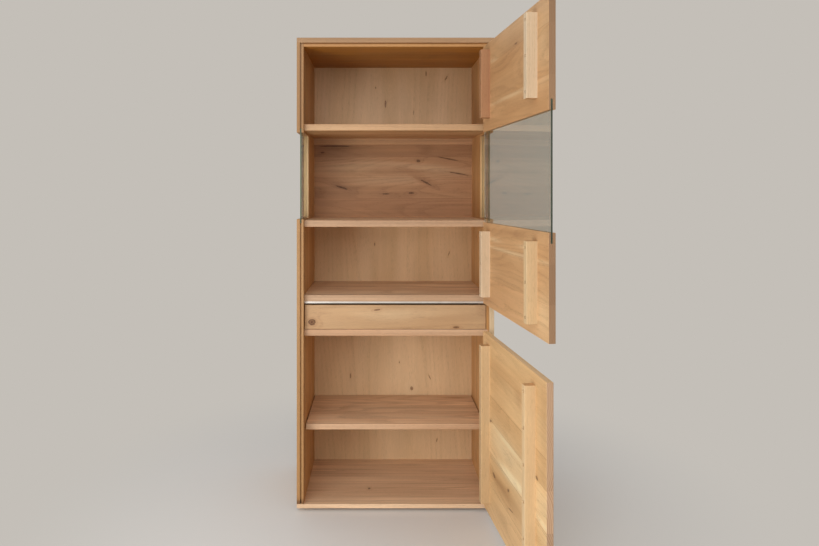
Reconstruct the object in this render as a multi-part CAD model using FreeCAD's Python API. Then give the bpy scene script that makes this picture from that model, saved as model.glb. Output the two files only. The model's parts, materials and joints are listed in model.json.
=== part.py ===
import FreeCAD
import Part
import os

# A tall oak display cabinet in millimetres: two inset doors hinged on the right and a drawer between them.
# X runs to the right, Y to the back and Z up. The origin is on the floor under the middle of the case.
# The doors stand open, which is the rest pose, and the drawer is shut.

# Case
case_width = 740.0
case_depth = 440.0
plinth_height = 12.0
plinth_setback = 35.0
bottom_thickness = 16.0
side_height = 1729.0
side_thickness = 26.0
top_thickness = 19.0
inner_top_thickness = 15.0
edge_round = 1.5
overrun = 5.0
match_tolerance = 0.001

# Shadow groove along the front of the left side and over the inner top
groove_inset = 12.0
groove_width = 6.0
groove_depth = 8.0

# Bays by clear height from the top down; the lowest bay takes what is left
shelf_thickness = 24.0
shelf_housing = 6.0
top_bay_height = 288.0
display_bay_height = 340.0
middle_bay_height = 258.0
drawer_bay_height = 106.0

# Loose shelf of the lowest bay
loose_shelf_thickness = 22.0
loose_shelf_height = 260.0
loose_shelf_end_gap = 3.0
loose_shelf_batten_gap = 4.0
pin_radius = 3.0
pin_reach = 9.0
pin_hole_depth = 11.0
pin_hole_clearance = 0.05
pin_rest_clearance = 0.1
pin_setback = 45.0

# Back
back_thickness = 8.0
back_recess = 2.0
back_lap = 8.0
display_back_thickness = 12.0
display_rail_height = 26.0
display_rail_thickness = 12.0
back_screw_radius = 1.6
back_screw_head_radius = 3.6
back_screw_length = 20.0
back_screw_count = 8
back_screw_end_margin = 70.0

# Corner windows in the sides
window_depth = 175.0
window_drop = 9.5
window_lift = 5.0
side_glass_thickness = 5.0
side_glass_setback = 3.0
side_glass_slot_depth = 15.0
side_glass_rear_slot = 8.0
glass_clearance = 0.5

# Doors
door_thickness = 20.0
door_gap = 2.0
door_end_gap = 3.0
door_stop_gap = 2.0
upper_door_angle = 96.0
lower_door_angle = 95.5
upper_door_drop = 2.0
lower_door_drop = 0.5
door_glass_thickness = 5.0
door_glass_inset = 6.0
door_glass_slot_depth = 30.0
door_glass_drop = 5.0

# Battens on the inner faces of the doors
batten_width = 28.0
batten_thickness = 32.0
batten_hinge_inset = 69.0
batten_free_inset = 91.0
batten_top_margin = 29.0
batten_bottom_margin = 46.0
batten_shelf_gap = 10.0
batten_screw_margin = 19.0
batten_screw_pitch = 108.0
batten_screw_radius = 2.2
batten_screw_head_radius = 4.4
batten_screw_head_height = 3.0
batten_screw_grip = 12.0
counterbore_radius = 5.2
counterbore_depth = 10.0

# Screws
screw_hole_clearance = 0.1
recess_reach_share = 0.62
recess_width_share = 0.24
recess_depth_share = 0.55

# Butt hinges, in the rebate of the right side
hinge_rebate_width = 8.0
hinge_length = 64.0
hinge_end_inset = 34.0
leaf_thickness = 1.5
leaf_depth = 16.0
knuckle_radius = 3.5
knuckle_clearance = 0.5
knuckle_end_clearance = 0.3
hinge_pin_radius = 1.5
hinge_pin_clearance = 0.05
hinge_pin_head_radius = 2.8
hinge_pin_head_height = 1.2
leaf_screw_radius = 1.5
leaf_screw_head_radius = 3.0
leaf_screw_length = 14.0
leaf_screw_inset = 11.0
leaf_screw_count = 3
jamb_knuckle_share = 0.32

# Drawer
drawer_gap = 2.0
drawer_run_clearance = 0.3
drawer_front_lift = 1.5
drawer_front_thickness = 20.0
drawer_grip_gap = 7.0
drawer_side_thickness = 12.0
drawer_side_height = 80.0
drawer_back_drop = 6.0
drawer_rear_gap = 40.0
drawer_bottom_thickness = 6.0
drawer_bottom_lift = 10.0
drawer_bottom_lap = 5.0
drawer_bottom_clearance = 0.2
kicker_width = 25.0
kicker_clearance = 1.0
kicker_setback = 48.0

# Aluminium strip under the shelf over the drawer
strip_height = 7.0
strip_depth = 18.0
strip_end_gap = 0.5

# Dowels that tie the sides to the top and the bottom
dowel_radius = 4.0
dowel_side_depth = 20.0
dowel_plate_depth = 10.0
dowel_clearance = 0.1
dowel_depth_shares = (0.18, 0.5, 0.82)

# Places worked out from the sizes above
front = -case_depth / 2
rear = case_depth / 2
half_width = case_width / 2
half_inside = half_width - side_thickness
floor_top = plinth_height + bottom_thickness
side_top = floor_top + side_height
case_top = side_top + top_thickness
inner_top_under = side_top - inner_top_thickness
back_face = rear - back_recess - back_thickness
shelf_front = front + door_thickness + door_stop_gap

upper_shelf_top = inner_top_under - top_bay_height
upper_shelf_under = upper_shelf_top - shelf_thickness
middle_shelf_top = upper_shelf_under - display_bay_height
middle_shelf_under = middle_shelf_top - shelf_thickness
lower_shelf_top = middle_shelf_under - middle_bay_height
lower_shelf_under = lower_shelf_top - shelf_thickness
drawer_shelf_top = lower_shelf_under - drawer_bay_height
drawer_shelf_under = drawer_shelf_top - shelf_thickness
loose_shelf_under = floor_top + loose_shelf_height
loose_shelf_front = front + door_thickness + batten_thickness + loose_shelf_batten_gap

window_top = upper_shelf_under - window_drop
window_bottom = middle_shelf_top + window_lift

door_free_x = -half_inside + door_gap
hinge_step_x = half_inside + hinge_rebate_width
door_hinge_x = hinge_step_x - door_gap
axis_x = hinge_step_x - door_gap / 2
axis_y = front - knuckle_radius - knuckle_clearance
door_inner_y = front + door_thickness
upper_door_top = inner_top_under - door_end_gap
upper_door_bottom = lower_shelf_under - upper_door_drop
lower_door_top = drawer_shelf_top - lower_door_drop
lower_door_bottom = floor_top + door_end_gap
door_glass_top = window_top
door_glass_bottom = middle_shelf_top - door_glass_drop


def on(value, place):
    return abs(value - place) < match_tolerance


def block(x0, x1, y0, y1, z0, z1):
    return Part.makeBox(x1 - x0, y1 - y0, z1 - z0, FreeCAD.Vector(x0, y0, z0))


def board(x0, x1, y0, y1, z0, z1, picked=None):
    # A board whose edges are eased; picked chooses the edges by their middle point.
    shape = block(x0, x1, y0, y1, z0, z1)
    edges = [e for e in shape.Edges if picked is None or picked(e.CenterOfMass)]
    return shape.makeFillet(edge_round, edges)


def rod(x, y, z, radius, length, direction):
    return Part.makeCylinder(radius, length, FreeCAD.Vector(x, y, z), direction)


def cross_recess(x, y, z, direction, head_radius, head_height):
    # The driver's cross, sunk into a screw head from its face.
    reach = head_radius * recess_reach_share
    half_slot = head_radius * recess_width_share / 2
    depth = head_height * recess_depth_share
    cross = block(-reach, reach, -half_slot, half_slot, -depth, depth)
    cross = cross.fuse(block(-half_slot, half_slot, -reach, reach, -depth, depth)).removeSplitter()
    cross.Placement = FreeCAD.Placement(FreeCAD.Vector(x, y, z), FreeCAD.Rotation(up, direction))
    return cross


def countersunk_hole(x, y, z, direction, head_radius, radius, length):
    place = FreeCAD.Vector(x, y, z)
    head = Part.makeCone(head_radius, radius, head_radius - radius, place, direction)
    return head.fuse(rod(x, y, z, radius, length, direction)).removeSplitter()


def countersunk_screw(x, y, z, direction, head_radius, radius, length):
    screw = countersunk_hole(x, y, z, direction, head_radius, radius, length)
    return screw.cut(cross_recess(x, y, z, direction, head_radius, head_radius - radius))


def evenly(first, last, count):
    return [first + (last - first) * i / (count - 1) for i in range(count)]


def save(name, shape):
    shape.exportStep("parts/" + name + ".step")
    print(name, len(shape.Solids), round(shape.Volume), shape.isValid())


def save_open(name, shape):
    # Swings a door piece from shut to the open rest pose of its door.
    turned = shape.copy()
    angle = lower_door_angle if name.startswith("lower_door") else upper_door_angle
    turned.rotate(FreeCAD.Vector(axis_x, axis_y, 0), up, angle)
    save(name, turned)


up = FreeCAD.Vector(0, 0, 1)
down = FreeCAD.Vector(0, 0, -1)
to_right = FreeCAD.Vector(1, 0, 0)
to_left = FreeCAD.Vector(-1, 0, 0)
to_front = FreeCAD.Vector(0, -1, 0)

os.makedirs("parts", exist_ok=True)

# Plinth, bottom and top
plinth = block(-half_width + plinth_setback, half_width - plinth_setback,
               front + plinth_setback, rear - plinth_setback, 0, plinth_height)
bottom = board(-half_width, half_width, front, rear, plinth_height, floor_top)
top = board(-half_width, half_width, front, rear, side_top, case_top)

inner_top = board(-half_inside, half_inside, front, back_face, inner_top_under, side_top,
                  lambda p: on(p.y, front) and on(p.z, inner_top_under))
inner_top = inner_top.cut(block(-half_inside - overrun, half_inside + overrun, front - overrun,
                                front + groove_depth, side_top - groove_width, side_top + overrun))

# Dowels stand in the middle of each side, half in the side and half in the plate
dowel_x = half_width - side_thickness / 2
dowel_spots = [(x, front + case_depth * share) for x in (-dowel_x, dowel_x) for share in dowel_depth_shares]
dowels = []
dowel_holes = []
for x, y in dowel_spots:
    for seam, plate_way in ((floor_top, down), (side_top, up)):
        start = FreeCAD.Vector(x, y, seam) - plate_way * dowel_side_depth
        length = dowel_side_depth + dowel_plate_depth
        dowels.append(rod(start.x, start.y, start.z, dowel_radius, length, plate_way))
        mouth = start - plate_way * dowel_clearance
        hole = rod(mouth.x, mouth.y, mouth.z, dowel_radius + dowel_clearance,
                   length + dowel_clearance * 2, plate_way)
        dowel_holes.append(hole)
bottom = bottom.cut(dowel_holes)
top = top.cut(dowel_holes)

# Shelves, housed in the sides and set back behind the doors
shelf_heights = {
    "upper_shelf": upper_shelf_under,
    "middle_shelf": middle_shelf_under,
    "lower_shelf": lower_shelf_under,
    "drawer_shelf": drawer_shelf_under,
}
half_shelf = half_inside + shelf_housing
shelves = {}
for name, under in shelf_heights.items():
    shelves[name] = board(-half_shelf, half_shelf, shelf_front, back_face, under, under + shelf_thickness,
                          lambda p: on(p.y, shelf_front) and on(p.x, 0))
housings = [block(-half_shelf, half_shelf, shelf_front, back_face, under, under + shelf_thickness)
            for under in shelf_heights.values()]

# Loose shelf on four pins
half_loose = half_inside - loose_shelf_end_gap
loose_shelf = board(-half_loose, half_loose, loose_shelf_front, back_face - loose_shelf_end_gap,
                    loose_shelf_under, loose_shelf_under + loose_shelf_thickness)
pin_z = loose_shelf_under - pin_radius - pin_rest_clearance
pin_places = [(side, y) for side in (-1, 1)
              for y in (loose_shelf_front + pin_setback, back_face - pin_setback)]
shelf_pins = []
pin_holes = []
for side, y in pin_places:
    inward = to_right if side < 0 else to_left
    root = side * (half_inside + pin_hole_depth - pin_hole_clearance)
    shelf_pins.append(rod(root, y, pin_z, pin_radius, pin_hole_depth + pin_reach, inward))
    pin_holes.append(rod(side * (half_inside + pin_hole_depth), y, pin_z,
                         pin_radius + pin_hole_clearance, pin_hole_depth + overrun, inward))

# Sides, each one board with a corner window, a glass slot and a rebate for the back
half_back = half_inside + back_lap
slot_outer_x = half_width - groove_inset
slot_inner_x = slot_outer_x - groove_width
side_glass_x = (slot_outer_x + slot_inner_x - side_glass_thickness) / 2
side_glass_rear = front + window_depth + side_glass_rear_slot
back_rebate = block(-half_back, half_back, back_face, rear + overrun,
                    floor_top - overrun, side_top + overrun)
window = block(-half_width - overrun, half_width + overrun, front - overrun, front + window_depth,
               window_bottom, window_top)
hinge_rebate = block(half_inside - overrun, hinge_step_x, front - overrun, shelf_front,
                     floor_top - overrun, side_top + overrun)
left_groove = block(-slot_outer_x, -slot_inner_x, front - overrun, front + groove_depth,
                    floor_top - overrun, side_top + overrun)
corner_groove = block(-slot_inner_x - overrun, -half_inside + overrun, front - overrun,
                      front + groove_depth, side_top - groove_width, side_top + overrun)


def side_board(outer, inner):
    x0, x1 = sorted((outer, inner))
    return board(x0, x1, front, rear, floor_top, side_top,
                 lambda p: not on(p.z, floor_top) and not on(p.z, side_top))


def glass_slot(sign):
    x0, x1 = sorted((sign * slot_outer_x, sign * slot_inner_x))
    return block(x0, x1, front - overrun, side_glass_rear + glass_clearance,
                 window_bottom - side_glass_slot_depth, window_top + side_glass_slot_depth)


def side_glass(sign):
    x0, x1 = sorted((sign * side_glass_x, sign * (side_glass_x + side_glass_thickness)))
    return block(x0, x1, front + side_glass_setback, side_glass_rear, window_bottom - side_glass_slot_depth,
                 window_top + side_glass_slot_depth - glass_clearance)


shared_cuts = housings + [back_rebate, window] + dowel_holes + pin_holes
left_side = side_board(-half_width, -half_inside)
left_side = left_side.cut(shared_cuts + [left_groove, corner_groove, glass_slot(-1)])
right_side = side_board(half_width, half_inside)
right_side = right_side.cut(shared_cuts + [hinge_rebate, glass_slot(1)])

# Back panel and its screws into the sides
back = block(-half_back, half_back, back_face, back_face + back_thickness, floor_top, side_top)
back_screw_x = half_inside + back_lap / 2
back_outer = back_face + back_thickness
back_screws = []
back_screw_holes = []
for x in (-back_screw_x, back_screw_x):
    for z in evenly(floor_top + back_screw_end_margin, side_top - back_screw_end_margin, back_screw_count):
        back_screws.append(countersunk_screw(x, back_outer, z, to_front, back_screw_head_radius,
                                             back_screw_radius, back_screw_length))
        back_screw_holes.append(countersunk_hole(x, back_outer, z, to_front,
                                                 back_screw_head_radius + screw_hole_clearance,
                                                 back_screw_radius + screw_hole_clearance,
                                                 back_screw_length + screw_hole_clearance))
back = back.cut(back_screw_holes)
left_side = left_side.cut(back_screw_holes)
right_side = right_side.cut(back_screw_holes)

# Lining and rail at the back of the display bay
display_back_face = back_face - display_back_thickness
display_back = block(-half_inside, half_inside, display_back_face, back_face,
                     middle_shelf_top, upper_shelf_under)
display_rail_face = display_back_face - display_rail_thickness
display_rail_under = upper_shelf_under - display_rail_height
display_rail = board(-half_inside, half_inside, display_rail_face, display_back_face,
                     display_rail_under, upper_shelf_under,
                     lambda p: on(p.y, display_rail_face) and on(p.z, display_rail_under))

# Aluminium strip and the two kickers that keep the drawer level
strip_end = half_inside - strip_end_gap
strip = block(-strip_end, strip_end, shelf_front, shelf_front + strip_depth,
              lower_shelf_under - strip_height, lower_shelf_under)
drawer_under = drawer_shelf_top + drawer_run_clearance
drawer_side_top = drawer_under + drawer_side_height
kicker_under = drawer_side_top + kicker_clearance
kickers = {}
for name, outer in (("left_drawer_kicker", -half_inside), ("right_drawer_kicker", half_inside)):
    x0, x1 = sorted((outer, outer - kicker_width * (1 if outer > 0 else -1)))
    kickers[name] = block(x0, x1, front + kicker_setback, back_face, kicker_under, lower_shelf_under)

# Drawer
half_drawer = half_inside - drawer_gap
drawer_front_under = drawer_shelf_top + drawer_front_lift
drawer_front_top = lower_shelf_under - strip_height - drawer_grip_gap
drawer_front_rear = shelf_front + drawer_front_thickness
drawer_rear = back_face - drawer_rear_gap
drawer_bottom_under = drawer_under + drawer_bottom_lift
drawer_bottom_top = drawer_bottom_under + drawer_bottom_thickness
half_drawer_inside = half_drawer - drawer_side_thickness
half_drawer_bottom = half_drawer_inside + drawer_bottom_lap
drawer_bottom_front = drawer_front_rear - drawer_bottom_lap
half_bottom_groove = half_drawer_bottom + drawer_bottom_clearance
bottom_groove_top = drawer_bottom_top + drawer_bottom_clearance
bottom_groove_front = drawer_bottom_front - drawer_bottom_clearance
bottom_groove = block(-half_bottom_groove, half_bottom_groove, bottom_groove_front,
                      drawer_rear + overrun, drawer_bottom_under, bottom_groove_top)
drawer_front = board(-half_drawer, half_drawer, shelf_front, drawer_front_rear,
                     drawer_front_under, drawer_front_top).cut(bottom_groove)
drawer_sides = {}
for name, sign in (("drawer_left_side", -1), ("drawer_right_side", 1)):
    x0, x1 = sorted((sign * half_drawer, sign * half_drawer_inside))
    drawer_sides[name] = board(x0, x1, drawer_front_rear, drawer_rear, drawer_under, drawer_side_top,
                               lambda p: on(p.z, drawer_side_top)).cut(bottom_groove)
drawer_back = block(-half_drawer_inside, half_drawer_inside, drawer_rear - drawer_side_thickness,
                    drawer_rear, bottom_groove_top, drawer_side_top - drawer_back_drop)
drawer_bottom = block(-half_drawer_bottom, half_drawer_bottom, drawer_bottom_front, drawer_rear,
                      drawer_bottom_under, drawer_bottom_top)

# Hinges: leaves let in flush with the door's edge and the rebate's step, round a pin in front of the case
hinge_middles = {
    "upper_door": [upper_door_top - hinge_end_inset - hinge_length / 2,
                   door_glass_top + door_glass_slot_depth + hinge_end_inset / 2 + hinge_length / 2,
                   door_glass_bottom - door_glass_slot_depth - hinge_length / 2,
                   upper_door_bottom + hinge_end_inset + hinge_length / 2],
    "lower_door": [lower_door_top - hinge_end_inset - hinge_length / 2,
                   lower_door_bottom + hinge_end_inset + hinge_length / 2],
}
jamb_knuckle = hinge_length * jamb_knuckle_share


def knuckle(z0, z1, leaf_x0, leaf_x1):
    barrel = rod(axis_x, axis_y, z0, knuckle_radius, z1 - z0, up)
    strap = block(leaf_x0, leaf_x1, axis_y, front + leaf_thickness, z0, z1)
    bore = rod(axis_x, axis_y, z0 - overrun, hinge_pin_radius + hinge_pin_clearance,
               z1 - z0 + overrun * 2, up)
    return barrel.fuse(strap).cut(bore)


def leaf_screw_places(middle):
    reach = hinge_length / 2 - leaf_screw_inset
    return [(front + leaf_depth / 2, z) for z in evenly(middle - reach, middle + reach, leaf_screw_count)]


def leaf_screws(x, direction, middle):
    return [countersunk_screw(x, y, z, direction, leaf_screw_head_radius, leaf_screw_radius,
                              leaf_screw_length) for y, z in leaf_screw_places(middle)]


def leaf_screw_holes(x, direction, middle):
    head_radius = leaf_screw_head_radius + screw_hole_clearance
    radius = leaf_screw_radius + screw_hole_clearance
    length = leaf_screw_length + screw_hole_clearance
    return [countersunk_hole(x, y, z, direction, head_radius, radius, length)
            for y, z in leaf_screw_places(middle)]


def leaf_plate(x0, x1, middle):
    return block(x0, x1, front, front + leaf_depth, middle - hinge_length / 2, middle + hinge_length / 2)


def jamb_leaf(middle):
    x0, x1 = hinge_step_x, hinge_step_x + leaf_thickness
    low, high = middle - hinge_length / 2, middle + hinge_length / 2
    leaf = leaf_plate(x0, x1, middle)
    leaf = leaf.fuse(knuckle(low, low + jamb_knuckle, x0, x1))
    leaf = leaf.fuse(knuckle(high - jamb_knuckle, high, x0, x1))
    return leaf.cut(leaf_screw_holes(hinge_step_x, to_right, middle)).removeSplitter()


def door_leaf(middle):
    x0, x1 = door_hinge_x - leaf_thickness, door_hinge_x
    reach = hinge_length / 2 - jamb_knuckle - knuckle_end_clearance
    leaf = leaf_plate(x0, x1, middle).fuse(knuckle(middle - reach, middle + reach, x0, x1))
    return leaf.cut(leaf_screw_holes(door_hinge_x, to_left, middle)).removeSplitter()


def hinge_pin(middle):
    low = middle - hinge_length / 2
    pin = rod(axis_x, axis_y, low, hinge_pin_radius, hinge_length, up)
    for z, way in ((low, down), (low + hinge_length, up)):
        pin = pin.fuse(rod(axis_x, axis_y, z, hinge_pin_head_radius, hinge_pin_head_height, way))
    return pin.removeSplitter()


all_middles = hinge_middles["upper_door"] + hinge_middles["lower_door"]
jamb_leaves = [jamb_leaf(middle) for middle in all_middles]
hinge_pins = [hinge_pin(middle) for middle in all_middles]
jamb_screws = []
jamb_cuts = []
for middle in all_middles:
    jamb_screws += leaf_screws(hinge_step_x, to_right, middle)
    jamb_cuts += leaf_screw_holes(hinge_step_x, to_right, middle)
    jamb_cuts.append(leaf_plate(hinge_step_x - overrun, hinge_step_x + leaf_thickness, middle))
    jamb_cuts.append(block(hinge_step_x - overrun, hinge_step_x + leaf_thickness, front - overrun,
                           front + leaf_thickness, middle - hinge_length / 2, middle + hinge_length / 2))
right_side = right_side.cut(jamb_cuts)


# Doors, made shut and then swung open
def door_panel(z0, z1, cuts):
    return board(door_free_x, door_hinge_x, front, door_inner_y, z0, z1).cut(cuts)


def door_hinge_cuts(middles):
    cuts = []
    for middle in middles:
        cuts += leaf_screw_holes(door_hinge_x, to_left, middle)
        cuts.append(block(door_hinge_x - leaf_thickness, door_hinge_x + overrun, front - overrun,
                          front + leaf_depth, middle - hinge_length / 2, middle + hinge_length / 2))
    return cuts


batten_lefts = {
    "hinge": door_hinge_x - batten_hinge_inset - batten_width,
    "free": door_free_x + batten_free_inset,
}
batten_face = door_inner_y + batten_thickness
batten_screw_seat = batten_face - counterbore_depth


def batten_screw_heights(z0, z1):
    first, last = z0 + batten_screw_margin, z1 - batten_screw_margin
    return evenly(first, last, max(2, round((last - first) / batten_screw_pitch) + 1))


def batten_screw(x, z):
    # Driven from the batten's face, with its head on the floor of the counterbore.
    head_top = batten_screw_seat + batten_screw_head_height
    head = rod(x, head_top, z, batten_screw_head_radius, batten_screw_head_height, to_front)
    length = batten_screw_seat - door_inner_y + batten_screw_grip
    shank = rod(x, batten_screw_seat, z, batten_screw_radius, length, to_front)
    recess = cross_recess(x, head_top, z, to_front, batten_screw_head_radius, batten_screw_head_height)
    return head.fuse(shank).removeSplitter().cut(recess)


def batten_screw_hole(x, z):
    length = batten_screw_seat - door_inner_y + batten_screw_grip + screw_hole_clearance
    return rod(x, batten_screw_seat, z, batten_screw_radius + screw_hole_clearance, length, to_front)


def batten(left, z0, z1):
    # Returns the batten, its screws and the holes that the screws leave in the door.
    shape = board(left, left + batten_width, door_inner_y, batten_face, z0, z1,
                  lambda p: not on(p.y, door_inner_y))
    x = left + batten_width / 2
    screws = []
    holes = []
    for z in batten_screw_heights(z0, z1):
        screws.append(batten_screw(x, z))
        holes.append(batten_screw_hole(x, z))
        bore = rod(x, batten_face + overrun, z, counterbore_radius, counterbore_depth + overrun, to_front)
        shape = shape.cut(bore).cut(holes[-1])
    return shape, screws, holes


batten_spans = {
    "upper_door_top": (upper_shelf_top + batten_shelf_gap, upper_door_top - batten_top_margin),
    "upper_door_lower": (lower_shelf_top + batten_shelf_gap, middle_shelf_under - batten_shelf_gap),
    "lower_door": (lower_door_bottom + batten_bottom_margin, drawer_shelf_under - batten_shelf_gap),
}
battens = {}
batten_screws = {"upper_door": [], "lower_door": []}
batten_holes = {}
for place, (z0, z1) in batten_spans.items():
    batten_holes[place] = []
    door = "lower_door" if place == "lower_door" else "upper_door"
    for side, left in batten_lefts.items():
        shape, screws, holes = batten(left, z0, z1)
        battens[place + "_" + side + "_batten"] = shape
        batten_screws[door] += screws
        batten_holes[place] += holes

door_slot_rear = door_inner_y - door_glass_inset + glass_clearance / 2
door_slot_front = door_inner_y - door_glass_inset - door_glass_thickness - glass_clearance / 2
door_slot = block(door_free_x - overrun, door_hinge_x + overrun, door_slot_front, door_slot_rear,
                  door_glass_bottom - door_glass_slot_depth, door_glass_top + door_glass_slot_depth)
door_glass = block(door_free_x, door_hinge_x, door_slot_front + glass_clearance / 2,
                   door_slot_rear - glass_clearance / 2, door_glass_bottom - door_glass_slot_depth,
                   door_glass_top + door_glass_slot_depth - glass_clearance)
upper_cuts = [door_slot] + door_hinge_cuts(hinge_middles["upper_door"])
lower_cuts = door_hinge_cuts(hinge_middles["lower_door"])
door_panels = {
    "upper_door_top_panel": door_panel(door_glass_top, upper_door_top,
                                       upper_cuts + batten_holes["upper_door_top"]),
    "upper_door_lower_panel": door_panel(upper_door_bottom, door_glass_bottom,
                                         upper_cuts + batten_holes["upper_door_lower"]),
    "lower_door_panel": door_panel(lower_door_bottom, lower_door_top,
                                   lower_cuts + batten_holes["lower_door"]),
}

# Every piece in its place
save("plinth_board", plinth)
save("bottom_panel", bottom)
save("left_side_panel", left_side)
save("right_side_panel", right_side)
save("top_panel", top)
save("inner_top_panel", inner_top)
save("case_dowels", Part.makeCompound(dowels))
for name, shape in shelves.items():
    save(name, shape)
save("loose_shelf", loose_shelf)
save("loose_shelf_pins", Part.makeCompound(shelf_pins))
save("back_panel", back)
save("back_panel_screws", Part.makeCompound(back_screws))
save("display_back_panel", display_back)
save("display_back_rail", display_rail)
save("left_side_glass", side_glass(-1))
save("right_side_glass", side_glass(1))
save("drawer_grip_strip", strip)
for name, shape in kickers.items():
    save(name, shape)
save("hinge_jamb_leaves", Part.makeCompound(jamb_leaves))
save("hinge_jamb_screws", Part.makeCompound(jamb_screws))
save("hinge_pins", Part.makeCompound(hinge_pins))

save("drawer_front", drawer_front)
for name, shape in drawer_sides.items():
    save(name, shape)
save("drawer_back", drawer_back)
save("drawer_bottom", drawer_bottom)

for name, shape in door_panels.items():
    save_open(name, shape)
save_open("upper_door_glass", door_glass)
for name, shape in battens.items():
    save_open(name, shape)
for door, middles in hinge_middles.items():
    door_screws = [screw for middle in middles for screw in leaf_screws(door_hinge_x, to_left, middle)]
    save_open(door + "_batten_screws", Part.makeCompound(batten_screws[door]))
    save_open(door + "_hinge_leaves", Part.makeCompound([door_leaf(middle) for middle in middles]))
    save_open(door + "_hinge_screws", Part.makeCompound(door_screws))

print("hinge axis", axis_x, axis_y, "case top", case_top, "glass band", door_glass_bottom, door_glass_top)
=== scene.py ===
import bpy
import bmesh
import json
import math
import random
from mathutils import Matrix, Vector

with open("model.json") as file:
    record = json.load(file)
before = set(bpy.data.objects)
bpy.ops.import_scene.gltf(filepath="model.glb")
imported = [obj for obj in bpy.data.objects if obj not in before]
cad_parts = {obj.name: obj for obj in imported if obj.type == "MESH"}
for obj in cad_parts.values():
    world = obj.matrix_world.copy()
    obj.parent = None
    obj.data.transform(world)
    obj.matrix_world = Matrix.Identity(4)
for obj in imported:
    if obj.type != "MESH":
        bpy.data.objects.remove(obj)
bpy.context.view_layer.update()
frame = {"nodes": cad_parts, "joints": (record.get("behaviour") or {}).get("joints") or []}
pieces = frame["nodes"]
print("frame loaded with", len(pieces), "pieces")


# Node helpers

def tint(red, green, blue):
    # Colours are written as a screen shows them, 0 to 255, and turned into linear light.
    def channel(value):
        share = value / 255
        return share / 12.92 if share <= 0.04045 else ((share + 0.055) / 1.055) ** 2.4
    return (channel(red), channel(green), channel(blue), 1.0)


def addNode(tree, kind, **settings):
    node = tree.nodes.new(kind)
    for name, value in settings.items():
        setattr(node, name, value)
    return node


def feed(tree, socket, value):
    if isinstance(value, bpy.types.NodeSocket):
        tree.links.new(value, socket)
    else:
        socket.default_value = value


def calc(tree, operation, first, second=0.0):
    node = addNode(tree, "ShaderNodeMath", operation=operation)
    feed(tree, node.inputs[0], first)
    feed(tree, node.inputs[1], second)
    return node.outputs[0]


def scaled(tree, value, gain, offset=0.0):
    node = addNode(tree, "ShaderNodeMath", operation="MULTIPLY_ADD")
    for socket, amount in zip(node.inputs, (value, gain, offset)):
        feed(tree, socket, amount)
    return node.outputs[0]


def vectorCalc(tree, operation, first, second=(0.0, 0.0, 0.0), output=0):
    node = addNode(tree, "ShaderNodeVectorMath", operation=operation)
    feed(tree, node.inputs[0], first)
    feed(tree, node.inputs[1], second)
    return node.outputs[output]


def lengthOf(tree, vector):
    return vectorCalc(tree, "LENGTH", vector, output=1)


def split(tree, vector, kind="XYZ"):
    node = addNode(tree, "ShaderNodeSeparate" + kind)
    feed(tree, node.inputs[0], vector)
    return list(node.outputs)


def join(tree, x, y, z):
    node = addNode(tree, "ShaderNodeCombineXYZ")
    for socket, value in zip(node.inputs, (x, y, z)):
        feed(tree, socket, value)
    return node.outputs[0]


def ease(tree, value, low, high, fromLevel=0.0, toLevel=1.0):
    node = addNode(tree, "ShaderNodeMapRange", interpolation_type="SMOOTHSTEP")
    for socket, amount in zip(node.inputs, (value, low, high, fromLevel, toLevel)):
        feed(tree, socket, amount)
    return node.outputs[0]


def mixColor(tree, share, first, second, blend="MIX"):
    node = addNode(tree, "ShaderNodeMix", data_type="RGBA", blend_type=blend, clamp_factor=True)
    feed(tree, node.inputs[0], share)
    feed(tree, node.inputs[6], first)    # the colour pair of this node's many sockets
    feed(tree, node.inputs[7], second)
    return node.outputs[2]


def noise(tree, vector, stretch, detail=2.0, roughness=0.5, output=0):
    node = addNode(tree, "ShaderNodeTexNoise", noise_dimensions="3D")
    feed(tree, node.inputs["Vector"], vectorCalc(tree, "MULTIPLY", vector, stretch))
    node.inputs["Scale"].default_value = 1.0
    node.inputs["Detail"].default_value = detail
    node.inputs["Roughness"].default_value = roughness
    return node.outputs[output]


def mixShaders(tree, share, first, second, output):
    pick = addNode(tree, "ShaderNodeMixShader")
    for socket, source in zip(pick.inputs, (share, first.outputs[0], second.outputs[0])):
        tree.links.new(source, socket)
    tree.links.new(pick.outputs[0], output.inputs["Surface"])


def addBump(tree, shader, height, strength, distance):
    bump = addNode(tree, "ShaderNodeBump")
    bump.inputs["Strength"].default_value = strength
    bump.inputs["Distance"].default_value = distance
    tree.links.new(height, bump.inputs["Height"])
    tree.links.new(bump.outputs[0], shader.inputs["Normal"])


def newGroup(name, inputs, outputs):
    tree = bpy.data.node_groups.new(name, "ShaderNodeTree")
    for way, sockets in (("INPUT", inputs), ("OUTPUT", outputs)):
        for label, kind in sockets.items():
            tree.interface.new_socket(name=label, in_out=way, socket_type="NodeSocket" + kind)
    return tree, addNode(tree, "NodeGroupInput").outputs, addNode(tree, "NodeGroupOutput").inputs


def placeGroup(tree, group, **values):
    node = addNode(tree, "ShaderNodeGroup", node_tree=group)
    for name, value in values.items():
        feed(tree, node.inputs[name], value)
    return node.outputs


# Shared wood effects; in each the grain runs along the vector's X

knotLook = {
    "wobble": (60.0, 140.0, 140.0), "looseWobble": (50.0, 120.0, 120.0),
    "wobbleGain": 0.9, "wobbleBase": 0.55,
    "bendFall": -0.22,   # how soon the grain runs straight again beside a knot
    "heart": (0.2, 0.6), "rimIn": (0.6, 0.9), "rimOut": (0.95, 1.3), "rimDark": 0.85,
    "body": (0.9, 1.2), "bodyDark": 0.5,
    "looseStretch": (0.5, 1.0, 1.0), "looseLeast": 0.4, "looseEdge": (0.35, 1.1), "looseDark": 0.85,
}


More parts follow.
